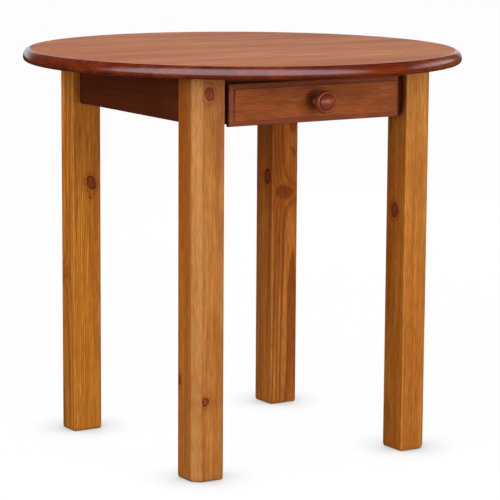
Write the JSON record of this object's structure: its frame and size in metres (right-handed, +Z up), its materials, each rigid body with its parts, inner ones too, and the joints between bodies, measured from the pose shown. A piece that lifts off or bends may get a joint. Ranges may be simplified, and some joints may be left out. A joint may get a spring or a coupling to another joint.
{
  "type": "round tavern table",
  "caption": "Small round wooden table: reddish stained staved top with rounded edge, square chamfered honey pine legs, dark aprons and a sliding drawer with a turned knob.",
  "frame": {"origin": "on the floor under the centre of the tabletop", "axes": "+Z up; the drawer opens towards -Y, with +X to the right for someone facing the drawer"},
  "size_m": [0.8, 0.8, 0.73],
  "materials": {
    "stained_top": "red-brown mahogany stain under satin lacquer",
    "stained_apron": "dark red-brown stain, satin",
    "stained_front": "red-brown stain, satin",
    "stained_knob": "red-brown stain, glossy lacquer",
    "honey_pine": "honey stained knotty pine, satin lacquer",
    "raw_pine": "planed, unfinished",
    "birch_ply": "plywood, unfinished",
    "beech_dowel": "plain beech",
    "zinc_steel": "bright zinc plated"
  },
  "bodies": {
    "table": {"tabletop_stave_1": "stained_top", "tabletop_stave_2": "stained_top", "tabletop_stave_3": "stained_top", "tabletop_stave_4": "stained_top", "tabletop_stave_5": "stained_top", "tabletop_stave_6": "stained_top", "tabletop_stave_7": "stained_top", "tabletop_stave_8": "stained_top", "leg_front_left": "honey_pine", "leg_front_right": "honey_pine", "leg_back_left": "honey_pine", "leg_back_right": "honey_pine", "corner_block_front_left": "raw_pine", "corner_block_front_right": "raw_pine", "corner_block_back_left": "raw_pine", "corner_block_back_right": "raw_pine", "apron_left": "stained_apron", "apron_right": "stained_apron", "apron_back": "stained_apron", "front_rail_upper": "stained_apron", "front_rail_lower": "stained_apron", "front_rail_end_left": "stained_apron", "front_rail_end_right": "stained_apron", "drawer_runner_left": "raw_pine", "drawer_guide_left": "raw_pine", "drawer_kicker_left": "raw_pine", "drawer_runner_right": "raw_pine", "drawer_guide_right": "raw_pine", "drawer_kicker_right": "raw_pine", "apron_dowels": "beech_dowel", "runner_dowels": "beech_dowel", "hanger_bolts": "zinc_steel", "hanger_bolt_washers": "zinc_steel", "hanger_bolt_nuts": "zinc_steel", "corner_block_screws": "zinc_steel", "tabletop_screws": "zinc_steel", "kicker_screws": "zinc_steel"},
    "drawer": {"drawer_front": "stained_front", "drawer_side_left": "raw_pine", "drawer_side_right": "raw_pine", "drawer_box_front": "raw_pine", "drawer_back": "raw_pine", "drawer_bottom": "birch_ply", "drawer_knob": "stained_knob", "knob_screw": "zinc_steel", "drawer_box_screws": "zinc_steel", "drawer_front_screws": "zinc_steel"}
  },
  "joints": [
    {"name": "drawer_slide", "type": "slide", "parent": "table", "child": "drawer", "axis": [0, -1, 0], "range_m": [0, 0.25]}
  ]
}
